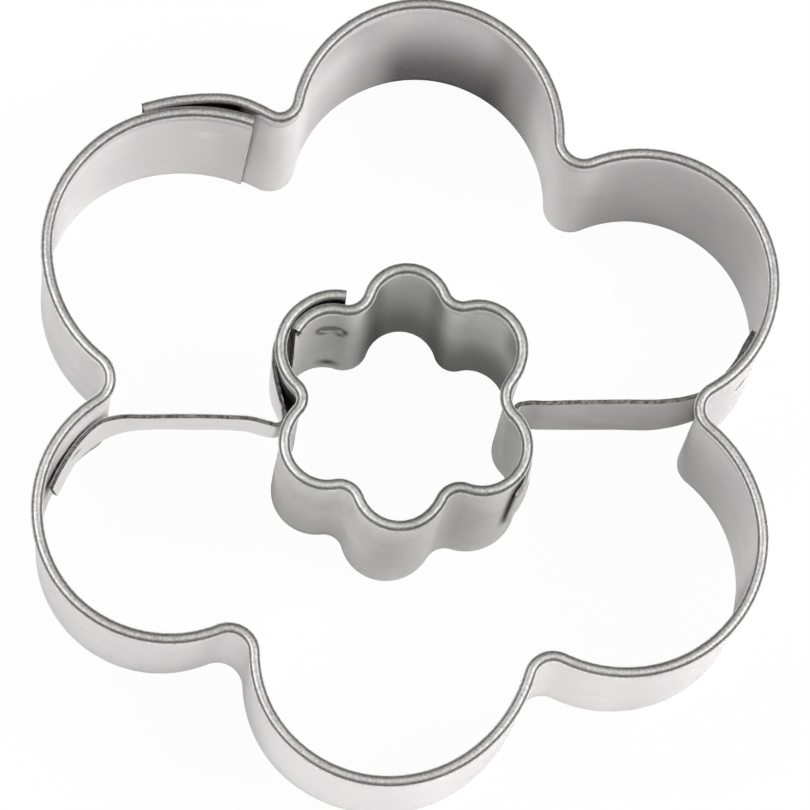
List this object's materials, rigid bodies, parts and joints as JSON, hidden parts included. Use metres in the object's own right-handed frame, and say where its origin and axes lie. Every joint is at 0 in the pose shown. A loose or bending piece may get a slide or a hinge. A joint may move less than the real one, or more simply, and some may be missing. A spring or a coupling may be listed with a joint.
{
  "type": "cookie cutter",
  "caption": "Flower-shaped sheet-metal cookie cutter with a smaller flower ring held inside it by two flat braces, for cutting ring-shaped flower biscuits.",
  "frame": {"origin": "middle of the outer ring's outline in plan, at the height of the cutting edges", "axes": "+Z up from the cutting edges to the rolled hems, +Y towards the petal opposite the bottom one, +X to the right when seen from above with +Y up"},
  "size_m": [0.0736, 0.0786, 0.025],
  "materials": {
    "ring_tinplate": "bright rolled tinplate, slightly clouded",
    "brace_strip": "bright tinplate strip with sheared edges",
    "spot_weld": "small dull spot welds, flush with the sheet"
  },
  "bodies": {
    "root": {"outer_ring": "ring_tinplate", "inner_ring": "ring_tinplate", "left_brace": "brace_strip", "right_brace": "brace_strip", "outer_seam_lower_weld": "spot_weld", "outer_seam_upper_weld": "spot_weld", "inner_seam_lower_weld": "spot_weld", "inner_seam_upper_weld": "spot_weld", "left_outer_tab_weld": "spot_weld", "left_inner_tab_weld": "spot_weld", "right_outer_tab_weld": "spot_weld", "right_inner_tab_weld": "spot_weld"}
  },
  "joints": []
}
